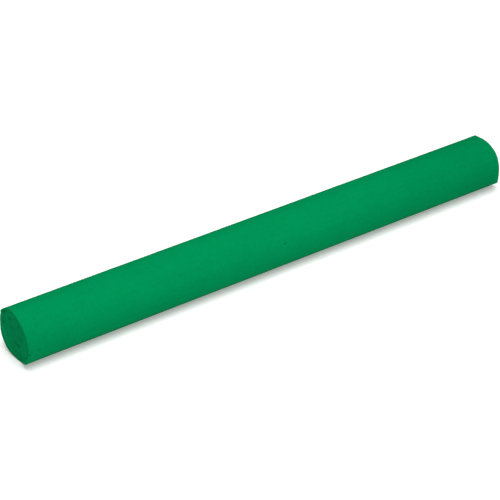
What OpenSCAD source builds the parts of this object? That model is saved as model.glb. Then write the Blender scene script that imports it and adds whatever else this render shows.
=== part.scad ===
// Round crayon lying on its side: one solid bar, the same material all the way through, with both
// ends cut square and a slightly eased edge around each end.
// The origin is on the long axis, at the middle of the length. +X runs along the crayon and +Z
// points up, so the surface that it lies on is one radius below the origin.

/* [Stick] */
// Length from one end face to the other
stick_length = 120; // [40:1:200]
// Diameter of the round section
stick_diameter = 12; // [6:0.5:20]

/* [Ends] */
// Radius that eases the edge around each end face
edge_radius = 0.2; // [0.05:0.05:1]

/* [Hidden] */
$fn = 96;
stick_radius = stick_diameter / 2;
half_length = stick_length / 2;

// One half of the lengthwise section, from the middle up to an end face, with its corner rounded.
module half_section() {
    square([stick_radius, half_length - edge_radius]);
    square([stick_radius - edge_radius, half_length]);
    translate([stick_radius - edge_radius, half_length - edge_radius]) circle(r = edge_radius);
}

// The whole crayon: the section turned about its long axis, then laid down along X.
module stick() {
    color("mediumseagreen") rotate([0, 90, 0]) rotate_extrude() {
        half_section();
        mirror([0, 1]) half_section();
    }
}

stick();
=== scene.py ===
"""Looks for the crayon: one matte green wax stick with pits, rubbed rims and cut end faces.

The stick lies along X with its axis through the origin. A place on the barrel is given as the
distance from the near end (-X) and the angle round the axis, from +Y up towards +Z. A place on an
end face is given as (y, z) from the axis. Both are in mm and degrees, and so are the sizes of marks.
Other lengths are in metres unless a comment says otherwise.
"""

import math
import random
from collections import namedtuple

import bmesh
import bpy
import numpy as np
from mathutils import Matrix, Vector, noise


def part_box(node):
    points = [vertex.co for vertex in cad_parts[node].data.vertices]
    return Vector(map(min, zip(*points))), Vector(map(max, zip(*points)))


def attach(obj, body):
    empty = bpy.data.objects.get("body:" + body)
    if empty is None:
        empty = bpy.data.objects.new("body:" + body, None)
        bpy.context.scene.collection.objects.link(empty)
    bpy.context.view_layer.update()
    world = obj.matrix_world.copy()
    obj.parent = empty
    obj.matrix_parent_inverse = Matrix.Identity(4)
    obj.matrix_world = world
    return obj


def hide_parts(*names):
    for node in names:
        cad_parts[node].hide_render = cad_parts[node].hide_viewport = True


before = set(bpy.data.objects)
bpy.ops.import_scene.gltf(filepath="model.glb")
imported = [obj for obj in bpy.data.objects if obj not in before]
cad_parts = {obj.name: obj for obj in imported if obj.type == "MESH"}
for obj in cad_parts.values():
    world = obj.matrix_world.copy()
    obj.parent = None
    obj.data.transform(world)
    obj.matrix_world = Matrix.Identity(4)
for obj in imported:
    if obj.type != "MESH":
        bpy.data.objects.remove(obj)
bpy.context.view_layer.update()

MM = 0.001
NEAR, FAR = -1, 1
stick_low, stick_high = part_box("stick")
RADIUS = (stick_high.z - stick_low.z) / 2
HALF_LENGTH = (stick_high.x - stick_low.x) / 2
FLOOR_Z = stick_low.z

# ---- Camera ----
CAMERA_AZIMUTH = -34.42     # degrees; 0 looks along +Y
CAMERA_ELEVATION = 33.39    # degrees above the horizon
CAMERA_DISTANCE = 3.15 * 2 * HALF_LENGTH
CAMERA_LENS = 128.2         # mm
SENSOR_WIDTH = 36           # mm
AIM_RIGHT = -3.16 * MM      # where the camera aims, off the stick's centre, across the picture
AIM_UP = -1.65 * MM         # and up the picture
CLIP_NEAR, CLIP_FAR = 0.01, 20      # metres

# ---- Mesh ----
AROUND = 256                # points round the barrel, a multiple of 8
PLAIN_STEP = 1.0 * MM       # between rings where the barrel is plain
END_STEP = 0.15 * MM        # between rings over the last part of the barrel
END_PART = 1.2 * MM         # how long that last part is
PIT_STEP = 0.12 * MM        # between rings that cross a pit
LEAST_STEP = 0.06 * MM      # a ring closer than this to the one before it is left out
RIM_RINGS = 8               # rings on the rounding of each rim
FACE_BORDER = 1 - 1e-9      # points this far out, 0 to 1, are on the border of an end face

# ---- Seeds of the noises and of the one random choice ----
WAVE_SEED = 3
PIT_SEED = 7
EDGE_SEED = 17
RIDGE_SEED = 23
LUMP_SEED = 29
CHIP_SEED = 31
CREASE_SEED = 37
WEAR_AND_HIGHLIGHT_SEED = 41
SEED_SHIFT = (7.3, 3.1, 5.7)        # how far one seed's noise is from the next one's

# ---- Shape of the barrel and the rims ----
# How far each rim is rounded, in mm, at a few angles round it.
RIM_EDGES = {
    NEAR: {0: 0.16, 20: 0.18, 48: 0.04, 90: 0.20, 150: 0.40,
           200: 0.30, 260: 0.15, 300: 0.08, 335: 0.04},
    FAR: {0: 0.12, 60: 0.10, 120: 0.16, 195: 0.20, 230: 0.06, 270: 0.16, 320: 0.10},
}
EDGE_LEAST = 0.04 * MM      # limits of the rounding
EDGE_MOST = 0.44 * MM
EDGE_UNEVEN = 0.5           # how much the rounding varies, as a part of itself
EDGE_PATCH = 0.12           # and over what distance, as a part of the radius
# How far each rim reaches past a square cut, in mm, at a few angles round it. Less than 0 is short
# of one.
RIM_REACH = {
    NEAR: {0: 0, 40: 0.05, 60: 0, 205: 0, 226: 0.15, 242: -0.31, 256: -0.53,
           270: -0.43, 290: -0.13, 306: 0.14, 338: 0.17},
    FAR: {20: 0.75, 53: 1.05, 68: 0.08, 82: -0.16, 104: 0.08, 140: 0.46, 180: 0.35,
          200: 0.66, 218: 1.36, 232: 2.2, 262: 1.9, 300: 1.2},
}
REACH_BLEND = (-6, 0, 6)    # degrees; the values are averaged over these turns, to round off kinks
REACH_PART = 6 * MM         # the last part of the barrel, drawn out or in with its rim
WAVINESS = 0.025 * MM       # how deep the slow hollows in the barrel are
WAVE_SIZE = 4 * MM          # and how wide
WAVE_STRETCH = 0.3          # under 1 draws the hollows out along the stick
WAVE_FADE = 2 * MM          # the distance from a rim over which they fade in
WEAR_AND_HIGHLIGHT_BAND = 0.5 * MM        # how far the pale wear and painted highlight reach from a rim along the barrel
WORN_LIP = 0.3 * MM         # and across the end face
HIGHLIGHT_SIDE = 70              # the angle where the painted highlight on the barrel is strongest, on its upper side
WEAR_AND_HIGHLIGHT_MEAN = 0.15            # the wear and painted highlight on the barrel beside a rim, where 1 is the palest
HIGHLIGHT_SWING = 0.15           # how much more painted highlight there is on that side and less on the other
WEAR_AND_HIGHLIGHT_UNEVEN = 0.5           # how much it varies from place to place
WEAR_AND_HIGHLIGHT_PATCH = 0.22           # and over what distance, as a part of the radius
WORN_FACE = 0.5             # the wear on an end face beside its rim

# ---- Marks ----
# A pit on the barrel.
Pit = namedtuple("Pit", "along around width depth")
BARREL_PITS = [
    Pit(61.2, 159, 0.62, 0.20),
    Pit(2.3, 187, 0.85, 0.13),
    Pit(0.6, 184, 0.60, 0.12),
    Pit(0.25, 190, 0.70, 0.22),
    Pit(3.6, 193, 0.50, 0.07),
    Pit(3.0, 123, 0.55, 0.08),
    Pit(2.8, 137, 0.55, 0.08),
    Pit(14.3, 124, 0.50, 0.06),
    Pit(24.7, 141, 0.50, 0.06),
    Pit(35.6, 143, 0.60, 0.08),
    Pit(40.8, 155, 0.50, 0.06),
    Pit(41.5, 119, 0.50, 0.06),
]
HIDDEN_PIT_COUNT = 11       # pits scattered over the side that faces away, within these limits
HIDDEN_PIT_LIMITS = Pit(along=(4, 116), around=(-100, 40), width=(0.4, 0.6), depth=(0.05, 0.14))
PIT_STRETCH = 1.15          # a pit is this much longer along the stick than round it

# A dent in an end face: its middle, how wide it is along y, how high along z, and how deep.
Dent = namedtuple("Dent", "y z width height depth")
DENTS = {
    NEAR: [
        Dent(-1.05, -1.75, 1.5, 1.35, 0.19),
        Dent(0.20, -1.65, 1.1, 0.85, 0.13),
        Dent(1.50, 1.10, 1.4, 0.60, 0.13),
        Dent(-2.10, 3.50, 1.3, 0.65, 0.13),
        Dent(1.80, 3.20, 1.8, 1.20, 0.11),
        Dent(4.45, 1.00, 1.3, 0.90, 0.12),
        Dent(4.05, 3.70, 1.2, 1.00, 0.11),
        Dent(-4.30, 2.30, 1.0, 0.60, 0.07),
        Dent(1.40, -3.40, 1.5, 0.60, 0.06),
        Dent(-2.30, 0.60, 1.6, 0.50, 0.06),
    ],
    FAR: [
        Dent(-1.90, 2.40, 1.3, 0.80, 0.13),
        Dent(2.60, -1.20, 1.0, 0.70, 0.12),
        Dent(0.40, -3.50, 1.5, 0.90, 0.08),
        Dent(-3.40, -1.60, 1.0, 0.80, 0.07),
        Dent(3.60, 2.20, 1.2, 0.90, 0.08),
    ],
}
# A scratch across an end face.
Gouge = namedtuple("Gouge", "start end width depth")
GOUGES = {
    NEAR: Gouge((0.2, -1.60), (-1.4, -1.90), 0.50, 0.09),
    FAR: Gouge((-0.6, 0.3), (0.9, 1.2), 0.45, 0.12),
}
# The shallow dish in an end face: its centre, its radius, its depth, the width of its wall where
# that is steepest, and the angle where that is.
Dish = namedtuple("Dish", "y z radius depth wall steepest")
DISHES = {
    NEAR: Dish(-0.32, 0.30, 4.95, 0.20, 0.34, -38),
    FAR: Dish(0.20, 0.15, 5.00, 0.12, 0.50, 200),
}
WALL_SPREAD = 1.6           # how much wider a dish's wall is on the other side
BRIM_WIDTH = 0.45           # mm; how far the painted highlight on a dish's brim reaches inwards and outwards
BRIM_SPREAD = 45            # degrees; and to each side of where the wall is steepest
BRIM_FADE = 0.3             # radians over which it fades out there
# A groove that runs just inside a rim from one angle to another.
Crease = namedtuple("Crease", "radius width depth start stop")
CREASES = {
    NEAR: [
        Crease(5.42, 0.85, 0.12, 30, 218),
        Crease(5.52, 0.75, 0.14, -72, -8),
    ],
    FAR: [Crease(5.35, 0.75, 0.10, 150, 350)],
}
CREASE_FADE = 0.35          # radians over which a crease fades out at each end
CREASE_MEAN = 0.75          # the part of its depth that a crease has on average
CREASE_UNEVEN = 0.6         # how much that part varies
CREASE_PATCH = 1.1          # mm; and over what distance
# A chip off a rim: a flat at 45 degrees. Its depth is how far the flat lies below the sharp corner.
Chip = namedtuple("Chip", "end around depth")
CHIPS = [
    Chip(NEAR, 203, 0.30),
    Chip(FAR, 305, 0.20),
    Chip(FAR, 118, 0.08),
]
CHIP_ROUGHNESS = 0.05 * MM  # how uneven a chip's flat is
CHIP_PATCH = 0.4 * MM       # and over what distance
CHIP_MARGIN = 0.02 * MM     # points this far short of the flat may still be cut by its unevenness
# A burr on a rim, pushed out past the end face. Its width is an angle.
Burr = namedtuple("Burr", "end around width height")
BURRS = [
    Burr(NEAR, 43, 36, 0.28),
]
BURR_REACH = 0.7 * MM       # how far a burr spreads from the rim
MARK_FULL_SHADE_DEPTH = 0.14 * MM       # a mark this deep gets the darkest painted shade
FACE_FADE = 0.4 * MM        # the distance from a rim over which all that sinks its face fades in

# ---- The fine ridges and lumps that the cut leaves on an end face, in mm ----
SAW_DEPTH = 0.028           # how far they sink the face on average
RIDGE_RUN = {NEAR: 115, FAR: 70}    # the angle that the ridges run along
RIDGE_HEIGHT = 0.012
RIDGE_WIDTH = 0.35
RIDGE_STRETCH = 8           # how many times longer a ridge is than it is wide
LUMP_HEIGHT = 0.016
LUMP_SIZE = 0.7


# ---- Shapes of marks ----
def smooth(value):
    """0 below 0, 1 above 1 and an S between."""
    value = np.clip(value, 0, 1)
    return value * value * (3 - 2 * value)


def bowl(distance):
    """A round-bottomed hollow: 1 at distance 0, falling to 0 at distance 1."""
    return np.clip(1 - distance**2, 0, 1) ** 2


def turned_from(angles, degrees):
    """Each angle less that many degrees, between half a turn back and half a turn on."""
    return (angles - math.radians(degrees) + math.pi) % (2 * math.pi) - math.pi


def noise_at(points, size, seed):
    """Smooth noise from -1 to 1 at each point, with lumps of about that size."""
    shift = Vector([seed * step for step in SEED_SHIFT])
    flat = np.asarray(points).reshape(-1, 3)
    values = [noise.noise(Vector(point) / size + shift) for point in flat]
    return np.array(values).reshape(np.shape(points)[:-1])


# ---- The barrel ----
def scattered_pit(rng):
    """A pit somewhere on the side that faces away."""
    return Pit(*[rng.uniform(*limits) for limits in HIDDEN_PIT_LIMITS])


def all_pits():
    """The pits that are listed, and some scattered over the hidden side."""
    rng = random.Random(PIT_SEED)
    return BARREL_PITS + [scattered_pit(rng) for _ in range(HIDDEN_PIT_COUNT)]


def ring_places(pits):
    """Places along X of the barrel's rings, closer together at the ends and where there is a pit."""
    reach = HALF_LENGTH - EDGE_MOST
    places = list(np.arange(-reach, reach, PLAIN_STEP))
    places += list(np.arange(-reach, END_PART - reach, END_STEP))
    places += list(np.arange(reach - END_PART, reach, END_STEP))
    for pit in pits:
        middle = pit.along * MM - HALF_LENGTH
        half = pit.width * MM / 2 + PIT_STEP
        places += list(np.arange(middle - half, middle + half, PIT_STEP))
    kept = [-reach]
    for place in sorted(places):
        if kept[-1] + LEAST_STEP <= place <= reach - LEAST_STEP:
            kept.append(place)
    return kept + [reach]


def edge_at(angles, end):
    """How far the rim is rounded at each angle. The rounding is a little uneven."""
    edges = RIM_EDGES[end]
    rounded = np.interp(angles, np.radians(list(edges)), list(edges.values()), period=2 * math.pi)
    circle = np.stack([np.cos(angles), np.sin(angles), np.full_like(angles, end)], -1)
    uneven = 1 + EDGE_UNEVEN * noise_at(circle, EDGE_PATCH, EDGE_SEED + end)
    return np.clip(rounded * MM * uneven, EDGE_LEAST, EDGE_MOST)


def tube_places(pits):
    """The barrel and both rims before any marks: x, angle and radius of each point of each ring."""
    angles = np.arange(AROUND) * 2 * math.pi / AROUND
    turn = np.linspace(0, math.pi / 2, RIM_RINGS + 1)[1:]
    rim = HALF_LENGTH - EDGE_MOST * (1 - np.sin(turn))
    along = np.concatenate([-rim[::-1], ring_places(pits), rim])
    x, theta = np.meshgrid(along, angles, indexing="ij")
    edge = np.where(x < 0, edge_at(angles, NEAR), edge_at(angles, FAR))
    past = np.clip(np.abs(x) - (HALF_LENGTH - edge), 0, edge)
    return x, theta, RADIUS - edge + np.sqrt(edge**2 - past**2)


def pit_depth(x, theta, pits):
    """How far each point of the barrel is sunk by the pits."""
    sunk = np.zeros_like(x)
    for pit in pits:
        along = x - (pit.along * MM - HALF_LENGTH)
        beside = turned_from(theta, pit.around) * RADIUS * PIT_STRETCH
        distance = np.hypot(along, beside) / (pit.width * MM / 2)
        sunk = np.maximum(sunk, bowl(distance) * pit.depth * MM)
    return sunk


def wave_depth(x, theta):
    """How far each point of the barrel is sunk by the slow hollows, which fade out at the rims."""
    skin = np.stack([x * WAVE_STRETCH, np.cos(theta) * RADIUS, np.sin(theta) * RADIUS], -1)
    wave = 0.5 + 0.5 * noise_at(skin, WAVE_SIZE, WAVE_SEED)
    return wave * WAVINESS * smooth((HALF_LENGTH - np.abs(x)) / WAVE_FADE)


def barrel_wear_and_highlight(x, theta):
    """How much wear and painted highlight the barrel has at each point: most at the rims, more on
    the upper side, and unevenly round them.
    """
    circle = np.stack([np.cos(theta), np.sin(theta), np.sign(x)], -1)
    patches = noise_at(circle, WEAR_AND_HIGHLIGHT_PATCH, WEAR_AND_HIGHLIGHT_SEED)
    # the swing paints a highlight on the upper side of each rim
    swing = np.cos(turned_from(theta, HIGHLIGHT_SIDE))
    uneven = WEAR_AND_HIGHLIGHT_MEAN + HIGHLIGHT_SWING * swing + WEAR_AND_HIGHLIGHT_UNEVEN * patches
    return smooth(1 - (HALF_LENGTH - np.abs(x)) / WEAR_AND_HIGHLIGHT_BAND) * uneven


# ---- The end faces ----
def face_grid():
    """A square grid of points laid out as a disc: how far out each is, 0 to 1, and its angle."""
    side = np.linspace(-1, 1, AROUND // 4 + 1)
    a, b = np.meshgrid(side, side, indexing="ij")
    out = np.maximum(np.abs(a), np.abs(b))
    flat = np.abs(a) >= np.abs(b)
    safe_a = np.where(a == 0, 1, a)
    safe_b = np.where(b == 0, 1, b)
    theta = np.where(flat, math.pi / 4 * b / safe_a, math.pi / 2 - math.pi / 4 * a / safe_b)
    theta = theta + np.where(np.where(flat, a, b) < 0, math.pi, 0)
    return out, theta % (2 * math.pi)


def dent_depth(y, z, dent):
    """How far a dent sinks each point of a face."""
    distance = np.hypot((y - dent.y) / (dent.width / 2), (z - dent.z) / (dent.height / 2))
    return bowl(distance) * dent.depth


def gouge_depth(y, z, gouge):
    """How far a gouge sinks each point of a face."""
    (y0, z0), (y1, z1) = gouge.start, gouge.end
    length = math.hypot(y1 - y0, z1 - z0)
    way_y, way_z = (y1 - y0) / length, (z1 - z0) / length
    along = (y - y0) * way_y + (z - z0) * way_z
    beside = (y - y0) * way_z - (z - z0) * way_y
    beyond = np.maximum(np.maximum(-along, along - length), 0)
    return bowl(np.hypot(beside, beyond) / (gouge.width / 2)) * gouge.depth


def crease_depth(y, z, crease):
    """How far the crease inside the rim sinks each point of a face. It fades out at both ends."""
    middle = (crease.start + crease.stop) / 2
    half_turn = math.radians(crease.stop - crease.start) / 2
    from_middle = np.abs(turned_from(np.arctan2(z, y), middle))
    strength = smooth((half_turn - from_middle) / CREASE_FADE)
    patches = noise_at(np.stack([y, z, np.zeros_like(y)], -1), CREASE_PATCH, CREASE_SEED)
    uneven = CREASE_MEAN + CREASE_UNEVEN * patches
    distance = np.abs(np.hypot(y, z) - crease.radius) / (crease.width / 2)
    return bowl(distance) * strength * np.clip(uneven, 0, 1) * crease.depth


def dish_depth(y, z, dish):
    """How far the shallow dish sinks each point of a face."""
    from_middle = np.hypot(y - dish.y, z - dish.z)
    turn = turned_from(np.arctan2(z - dish.z, y - dish.y), dish.steepest)
    wall = dish.wall * (1 + WALL_SPREAD * (1 - np.cos(turn)) / 2)
    return smooth((dish.radius - from_middle) / wall + 0.5) * dish.depth


def brim_highlight(y, z, dish):
    """How much painted highlight the brim of the dish has at each point of a face, where its wall is
    steep.
    """
    from_middle = np.hypot(y - dish.y, z - dish.z)
    turn = turned_from(np.arctan2(z - dish.z, y - dish.y), dish.steepest)
    brim = bowl((from_middle - dish.radius - dish.wall / 2) / BRIM_WIDTH)
    return brim * smooth((math.radians(BRIM_SPREAD) - np.abs(turn)) / BRIM_FADE)


def marks_depth(y, z, end):
    """How far the dents, the gouge and the creases sink each point of a face."""
    depth = gouge_depth(y, z, GOUGES[end])
    for dent in DENTS[end]:
        depth = np.maximum(depth, dent_depth(y, z, dent))
    for crease in CREASES[end]:
        depth = depth + crease_depth(y, z, crease)
    return depth


def saw_marks(y, z, end):
    """How far the fine ridges and lumps of the cut sink each point of a face."""
    run = math.radians(RIDGE_RUN[end])
    across = y * math.sin(run) - z * math.cos(run)
    along = y * math.cos(run) + z * math.sin(run)
    level = np.full_like(y, end)
    ridges = noise_at(np.stack([across, along / RIDGE_STRETCH, level], -1), RIDGE_WIDTH, RIDGE_SEED)
    lumps = noise_at(np.stack([y, z, level], -1), LUMP_SIZE, LUMP_SEED)
    return SAW_DEPTH + ridges * RIDGE_HEIGHT + lumps * LUMP_HEIGHT


def face_points(rim_radius, end):
    """One end face as a square grid of points, how deep its marks are for their painted shade, and
    how much wear and painted highlight it has.
    """
    out, theta = face_grid()
    round_angles = np.arange(AROUND + 1) * 2 * math.pi / AROUND
    reach = out * np.interp(theta, round_angles, np.append(rim_radius, rim_radius[0]))
    y, z = np.cos(theta) * reach, np.sin(theta) * reach
    marks = marks_depth(y / MM, z / MM, end)
    sunk = marks + dish_depth(y / MM, z / MM, DISHES[end]) + saw_marks(y / MM, z / MM, end)
    inside_rim = smooth((1 - out) * RADIUS / FACE_FADE)
    x = end * (HALF_LENGTH - sunk * MM * inside_rim)
    beside_rim = smooth(1 - (RADIUS - reach) / WORN_LIP)
    # wear beside the rim, plus painted highlight on the dish's brim where its wall is steepest
    wear_and_highlight = WORN_FACE * beside_rim + brim_highlight(y / MM, z / MM, DISHES[end])
    return np.stack([x, y, z], -1), marks * MM / MARK_FULL_SHADE_DEPTH, wear_and_highlight


def face_index(first, edge_ring):
    """The number of each point of a face's grid. Its border is the end ring of the barrel."""
    out, theta = face_grid()
    index = np.zeros(out.shape, int)
    inner = out < FACE_BORDER
    index[inner] = first + np.arange(np.count_nonzero(inner))
    spoke = np.rint(theta * AROUND / (2 * math.pi)).astype(int) % AROUND
    index[~inner] = edge_ring * AROUND + spoke[~inner]
    return index


# ---- The whole mesh ----
def quads(index):
    """The faces between neighbours in a grid of point numbers."""
    corners = [index[:-1, :-1], index[1:, :-1], index[1:, 1:], index[:-1, 1:]]
    return np.stack(corners, -1).reshape(-1, 4)


def chip_off(points):
    """Cuts each chip off its rim: points past its flat are pushed back on to it."""
    for chip in CHIPS:
        around = math.radians(chip.around)
        outwards = np.array([0, math.cos(around), math.sin(around)])
        along = np.array([chip.end, 0, 0])
        facing = (along + outwards) / math.sqrt(2)
        corner = along * HALF_LENGTH + outwards * RADIUS
        past = (points - corner) @ facing + chip.depth * MM
        near = np.flatnonzero(past > -CHIP_MARGIN)
        past[near] += noise_at(points[near], CHIP_PATCH, CHIP_SEED) * CHIP_ROUGHNESS
        points[near] -= np.maximum(past[near], 0)[:, None] * facing
    return points


def rim_reach(angles, end):
    """How far the rim reaches past a square cut at each angle, in mm."""
    places, reaches = np.radians(list(RIM_REACH[end])), list(RIM_REACH[end].values())
    turned = [angles + math.radians(turn) for turn in REACH_BLEND]
    return np.mean([np.interp(each, places, reaches, period=2 * math.pi) for each in turned], 0)


def draw_rims(points):
    """Moves each rim past a square cut or short of one.

    The barrel follows it over its last part, and the end face less and less towards its middle.
    """
    angles = np.arctan2(points[:, 2], points[:, 1])
    across = np.hypot(points[:, 1], points[:, 2]) / RADIUS
    for end in (NEAR, FAR):
        along = np.clip(1 - (HALF_LENGTH - points[:, 0] * end) / REACH_PART, 0, 1)
        points[:, 0] += end * rim_reach(angles, end) * MM * along * across**2
    return points


def push_burrs(points):
    """Pushes each burr out past its end face."""
    from_rim = RADIUS - np.hypot(points[:, 1], points[:, 2])
    angles = np.arctan2(points[:, 2], points[:, 1])
    for burr in BURRS:
        from_end = HALF_LENGTH - points[:, 0] * burr.end
        beside = turned_from(angles, burr.around) / math.radians(burr.width / 2)
        lift = bowl(beside) * bowl(from_rim / BURR_REACH) * bowl(from_end / BURR_REACH)
        points[:, 0] += burr.end * burr.height * MM * lift
    return points


def crayon_parts():
    """The points, faces, and for each point how cut it is, how much painted shade its marks give,
    and how much wear and painted highlight it has, for the whole crayon.
    """
    pits = all_pits()
    x, theta, radius = tube_places(pits)
    pitted = pit_depth(x, theta, pits)
    radius = radius - pitted - wave_depth(x, theta)
    rings = len(x)
    tube_index = np.arange(rings * AROUND).reshape(rings, AROUND)
    cut = np.zeros_like(x)
    cut[[0, -1]] = 1

    points = [np.stack([x, np.cos(theta) * radius, np.sin(theta) * radius], -1).reshape(-1, 3)]
    faces = [quads(np.hstack([tube_index, tube_index[:, :1]]))]
    looks = [np.stack([cut, pitted / MARK_FULL_SHADE_DEPTH, barrel_wear_and_highlight(x, theta)], -1).reshape(-1, 3)]
    first = rings * AROUND
    inner = face_grid()[0] < FACE_BORDER
    for end, edge_ring in ((NEAR, 0), (FAR, rings - 1)):
        places, mark_shading, wear_and_highlight = face_points(radius[edge_ring], end)
        points.append(places[inner])
        looks.append(np.stack([np.ones_like(wear_and_highlight), mark_shading, wear_and_highlight], -1)[inner])
        faces.append(quads(face_index(first, edge_ring)))
        first += np.count_nonzero(inner)
    points = draw_rims(push_burrs(chip_off(np.concatenate(points))))
    return points, np.concatenate(faces), np.concatenate(looks)


def crayon_mesh():
    """One closed mesh, with attributes for its material: how cut, how much painted shade in marks,
    and how much wear and painted highlight.
    """
    points, faces, looks = crayon_parts()
    mesh = bpy.data.meshes.new("crayon")
    mesh.from_pydata(points.tolist(), [], faces.tolist())
    for column, name in enumerate(("cut", "mark_shade", "wear_and_highlight")):
        values = np.clip(looks[:, column], 0, 1).astype(np.float32)
        mesh.attributes.new(name, "FLOAT", "POINT").data.foreach_set("value", values)
    work = bmesh.new()
    work.from_mesh(mesh)
    bmesh.ops.recalc_face_normals(work, faces=work.faces)
    work.to_mesh(mesh)
    work.free()
    mesh.polygons.foreach_set("use_smooth", [True] * len(mesh.polygons))
    return mesh


# ---- Material ----
GREEN_DEEP = (0.0, 0.170, 0.0554)    # denser patches of the wax
GREEN_PALE = (0.0, 0.2014, 0.0656)   # paler patches
GREEN_WEAR_AND_HIGHLIGHT = (0.002, 0.228, 0.0770)  # rubbed rims, with painted highlight on their upper side and on a dish's brim
GREEN_MARK_SHADE = (0.0, 0.100, 0.0342)    # painted shade at the bottom of a pit, a dent or a crease
SPECK_STRENGTH = 0.5        # how far a speck goes towards GREEN_DEEP
WEAR_AND_HIGHLIGHT_STRENGTH = 0.7         # how far the wear and painted highlight go towards GREEN_WEAR_AND_HIGHLIGHT
MARK_SHADE_STRENGTH = 0.85        # how far the painted shade in a mark goes towards GREEN_MARK_SHADE
FAR_DIM = (0.92, 0.92, 0.92)        # dims the far end a little
FAR_DIM_START = 0.45 * HALF_LENGTH  # where that begins
UNDERSIDE_SHADE = (0.70, 0.70, 0.70)        # painted shade along a band of the underside
LOW_DIM_MIDDLE = 262        # the angle at the middle of that band
LOW_DIM_START = 53          # degrees to each side of it where the band begins
LOW_DIM_FULL = 38           # and where it is full

FINE_SIZE = 0.75 * MM       # the sizes of the noises, and their shares in the mottling
BROAD_SIZE = 7 * MM
STREAK_SIZE = 0.9 * MM
STREAK_STRETCH = (0.05, 1, 1)
FINE_SHARE, BROAD_SHARE, STREAK_SHARE = 0.5, 0.3, 0.2
MOTTLE_LOW, MOTTLE_HIGH = 0.32, 0.68    # the mottling that gives GREEN_DEEP and GREEN_PALE
CUT_CONTRAST = 0.14         # how far each of these moves towards the other on a cut face
SPECK_SIZE = 0.5 * MM
SPECK_LOW, SPECK_HIGH = 0.66, 0.78      # the noise where a speck begins and where it is full

SMOOTHEST, ROUGHEST = 0.70, 0.82        # the roughness, which follows the fine noise
ROUGH_LOW, ROUGH_HIGH = 0.3, 0.7        # the noise that gives these two
CUT_ROUGHER = 0.08          # how much rougher a cut face is
WAX_SPECULAR = 0.003        # almost no gloss
PORE_SIZE = 0.25 * MM
PORE_RELIEF, STREAK_RELIEF = 0.5, 0.25  # what the pores and the streaks give to the bump
CUT_RELIEF = 2.2            # how many times stronger the bump is on a cut face
BUMP_STRENGTH = 0.5
BUMP_DEPTH = 0.02 * MM


def fill(tree, socket, value):
    """Sets a socket to a value, or links it to another node's output."""
    if isinstance(value, bpy.types.NodeSocket):
        tree.links.new(value, socket)
    else:
        socket.default_value = value


def add(tree, kind, settings=None, **inputs):
    """A new shader node, with its inputs filled."""
    node = tree.nodes.new(kind)
    for name, value in (settings or {}).items():
        setattr(node, name, value)
    for name, value in inputs.items():
        fill(tree, node.inputs[name.replace("_", " ")], value)
    return node


def grain(tree, where, size, detail=2.0, stretch=(1, 1, 1)):
    """Noise from 0 to 1 with lumps of about that size. A stretch under 1 draws them out that way."""
    scaled = add(tree, "ShaderNodeMapping", Vector=where, Scale=stretch)
    made = add(tree, "ShaderNodeTexNoise", Vector=scaled.outputs[0], Scale=1 / size, Detail=detail)
    return made.outputs[0]


def spread(tree, value, low, high, to_low=0.0, to_high=1.0):
    """Spreads the part of value from low to high over to_low to to_high."""
    made = add(tree, "ShaderNodeMapRange", Value=value, From_Min=low, From_Max=high)
    made.inputs["To Min"].default_value = to_low
    made.inputs["To Max"].default_value = to_high
    return made.outputs[0]


def times(tree, first, second):
    """The product of two values."""
    made = add(tree, "ShaderNodeMath", {"operation": "MULTIPLY"})
    fill(tree, made.inputs[0], first)
    fill(tree, made.inputs[1], second)
    return made.outputs[0]


def plus(tree, first, second):
    """The sum of two values."""
    made = add(tree, "ShaderNodeMath", {"operation": "ADD"})
    fill(tree, made.inputs[0], first)
    fill(tree, made.inputs[1], second)
    return made.outputs[0]


def weighed(tree, *parts):
    """The sum of outputs, each times its own weight."""
    total = 0.0
    for value, weight in parts:
        total = plus(tree, times(tree, value, weight), total)
    return total


def mixed(tree, amount, first, second, blend="MIX"):
    """A colour between two others, or with blend="MULTIPLY" the first one dimmed by the second."""
    made = add(tree, "ShaderNodeMix", {"data_type": "RGBA", "blend_type": blend})
    fill(tree, made.inputs["Factor"], amount)
    for socket, colour in ((made.inputs[6], first), (made.inputs[7], second)):
        fill(tree, socket, colour if isinstance(colour, bpy.types.NodeSocket) else (*colour, 1))
    return made.outputs[2]


def attribute(tree, name):
    """One of the mesh's own attributes."""
    return add(tree, "ShaderNodeAttribute", {"attribute_name": name}).outputs["Fac"]


def far_part(tree, where):
    """How much the far end is dimmed: 0 up to where that begins, then rising to 1 at the end."""
    along = add(tree, "ShaderNodeSeparateXYZ", Vector=where).outputs["X"]
    return spread(tree, along, FAR_DIM_START, HALF_LENGTH)


def underside_shade_part(tree, where, cut):
    """How much painted shade the underside gets: 1 in the band along it, 0 elsewhere and on a cut
    face.
    """
    axes = add(tree, "ShaderNodeSeparateXYZ", Vector=where).outputs
    middle = math.radians(LOW_DIM_MIDDLE)
    down = weighed(tree, (axes["Y"], math.cos(middle)), (axes["Z"], math.sin(middle)))
    start = RADIUS * math.cos(math.radians(LOW_DIM_START))
    full = RADIUS * math.cos(math.radians(LOW_DIM_FULL))
    return times(tree, spread(tree, down, start, full), spread(tree, cut, 0, 1, 1.0, 0.0))


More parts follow.
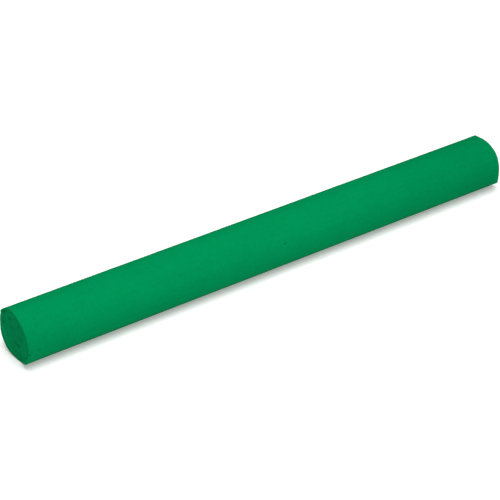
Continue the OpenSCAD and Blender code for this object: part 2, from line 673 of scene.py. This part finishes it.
def wax_colour(tree, fine, broad, streak, specks, where):
    """Mottled green, dimmed at the far end, with painted shade along the underside and at the bottom
    of marks, and paler at the rims from wear and painted highlight.
    """
    cut = attribute(tree, "cut")
    mottle = weighed(tree, (fine, FINE_SHARE), (broad, BROAD_SHARE), (streak, STREAK_SHARE))
    narrowed = times(tree, cut, CUT_CONTRAST)
    low = plus(tree, narrowed, MOTTLE_LOW)
    high = plus(tree, times(tree, narrowed, -1.0), MOTTLE_HIGH)
    wear_and_highlight = times(tree, attribute(tree, "wear_and_highlight"), WEAR_AND_HIGHLIGHT_STRENGTH)
    mark_shading = times(tree, attribute(tree, "mark_shade"), MARK_SHADE_STRENGTH)
    colour = mixed(tree, spread(tree, mottle, low, high), GREEN_DEEP, GREEN_PALE)
    colour = mixed(tree, times(tree, specks, SPECK_STRENGTH), colour, GREEN_DEEP)
    colour = mixed(tree, far_part(tree, where), colour, FAR_DIM, blend="MULTIPLY")
    # painted shade along the underside
    colour = mixed(tree, underside_shade_part(tree, where, cut), colour, UNDERSIDE_SHADE, blend="MULTIPLY")
    # paler at the rims from wear, with painted highlight on their upper side and on the dish's brim
    colour = mixed(tree, wear_and_highlight, colour, GREEN_WEAR_AND_HIGHLIGHT)
    # painted shade at the bottom of pits, dents and creases, darker the deeper they are
    return mixed(tree, mark_shading, colour, GREEN_MARK_SHADE)


def wax_material():
    """Matte pigmented wax: mottled, faintly streaked along the stick, rougher where it is cut."""
    material = bpy.data.materials.new("green_wax")
    material.use_nodes = True
    tree = material.node_tree
    shader = tree.nodes["Principled BSDF"]
    where = add(tree, "ShaderNodeTexCoord").outputs["Object"]
    cut = attribute(tree, "cut")

    fine = grain(tree, where, FINE_SIZE, detail=3)
    broad = grain(tree, where, BROAD_SIZE)
    streak = grain(tree, where, STREAK_SIZE, stretch=STREAK_STRETCH)
    specks = spread(tree, grain(tree, where, SPECK_SIZE, detail=0), SPECK_LOW, SPECK_HIGH)
    fill(tree, shader.inputs["Base Color"], wax_colour(tree, fine, broad, streak, specks, where))

    rough = spread(tree, fine, ROUGH_LOW, ROUGH_HIGH, SMOOTHEST, ROUGHEST)
    fill(tree, shader.inputs["Roughness"], weighed(tree, (rough, 1.0), (cut, CUT_ROUGHER)))
    shader.inputs["Specular IOR Level"].default_value = WAX_SPECULAR

    pores = grain(tree, where, PORE_SIZE, detail=3)
    height = weighed(tree, (pores, PORE_RELIEF), (streak, STREAK_RELIEF))
    height = times(tree, height, spread(tree, cut, 0, 1, 1.0, CUT_RELIEF))
    bump = add(tree, "ShaderNodeBump", Strength=BUMP_STRENGTH, Distance=BUMP_DEPTH, Height=height)
    fill(tree, shader.inputs["Normal"], bump.outputs[0])
    return material


# ---- Floor ----
FLOOR_SIZE = 6.0            # metres
FLOOR_GAP = 0.01 * MM       # keeps the floor just clear of the stick
FLOOR_WHITE = 0.8
FLOOR_ROUGHNESS = 0.9
FLOOR_GLOW = 0.28           # the faint light that the floor gives off itself, like a light table


def pale_floor():
    """A plain matte floor, wide enough to fill the picture, that glows faintly."""
    bpy.ops.mesh.primitive_plane_add(size=FLOOR_SIZE, location=(0, 0, FLOOR_Z - FLOOR_GAP))
    floor = bpy.context.object
    floor.name = "floor"
    material = bpy.data.materials.new("floor_paint")
    material.use_nodes = True
    shader = material.node_tree.nodes["Principled BSDF"]
    shader.inputs["Base Color"].default_value = (FLOOR_WHITE, FLOOR_WHITE, FLOOR_WHITE, 1)
    shader.inputs["Emission Color"].default_value = (1, 1, 1, 1)
    shader.inputs["Emission Strength"].default_value = FLOOR_GLOW
    shader.inputs["Roughness"].default_value = FLOOR_ROUGHNESS
    shader.inputs["Specular IOR Level"].default_value = 0.0
    floor.data.materials.append(material)


# ---- Light ----
# A soft round lamp that faces the origin: degrees round (0 shines from -Y, 90 from +X), degrees
# up, distance and width in metres, and power in watts.
Lamp = namedtuple("Lamp", "name around up distance width power")
LAMPS = [
    Lamp("front", 0, 60, 1.2, 1.0, 2.05),
    Lamp("front_low", 0, 40, 0.60, 0.50, 0.21),
    Lamp("top", -10, 70, 0.30, 0.25, 0.81),
    Lamp("near_top", -90, 83, 0.40, 0.30, 0.26),
    Lamp("near_front", -40, 40, 0.25, 0.20, 0.06),
    Lamp("near_back_high", -155, 62, 0.25, 0.20, 0.09),
]
SKY_STRENGTH = 0.3


def soft_lamp(lamp):
    """One wide lamp, which the camera itself doesn't see."""
    data = bpy.data.lights.new(lamp.name, "AREA")
    data.shape = "DISK"
    data.size = lamp.width
    data.energy = lamp.power
    around, up = math.radians(lamp.around), math.radians(lamp.up)
    away = Vector((math.sin(around) * math.cos(up), -math.cos(around) * math.cos(up), math.sin(up)))
    holder = bpy.data.objects.new(lamp.name, data)
    holder.location = away * lamp.distance
    holder.rotation_euler = away.to_track_quat("Z", "Y").to_euler()
    holder.visible_camera = False
    bpy.context.scene.collection.objects.link(holder)


def plain_sky():
    """A plain dim surround without colour. Low views see it past the floor's far edge."""
    world = bpy.data.worlds.new("studio")
    world.use_nodes = True
    sky = world.node_tree.nodes["Background"]
    sky.inputs["Color"].default_value = (1, 1, 1, 1)
    sky.inputs["Strength"].default_value = SKY_STRENGTH
    bpy.context.scene.world = world


# ---- Camera ----
def place_camera():
    """The camera looks down on the stick from beyond its near end."""
    data = bpy.data.cameras.new("camera")
    data.lens = CAMERA_LENS
    data.sensor_width = SENSOR_WIDTH
    data.clip_start = CLIP_NEAR
    data.clip_end = CLIP_FAR
    camera = bpy.data.objects.new("camera", data)
    camera.rotation_euler = (math.radians(90 - CAMERA_ELEVATION), 0, math.radians(CAMERA_AZIMUTH))
    right, up, back = camera.rotation_euler.to_matrix().col
    camera.location = right * AIM_RIGHT + up * AIM_UP + back * CAMERA_DISTANCE
    bpy.context.scene.collection.objects.link(camera)
    bpy.context.scene.camera = camera


# ---- The scene ----
crayon = bpy.data.objects.new("crayon", crayon_mesh())
bpy.context.scene.collection.objects.link(crayon)
crayon.data.materials.append(wax_material())
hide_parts("stick")
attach(crayon, "root")

pale_floor()
for each_lamp in LAMPS:
    soft_lamp(each_lamp)
plain_sky()
place_camera()
bpy.context.scene.view_settings.view_transform = "Standard"
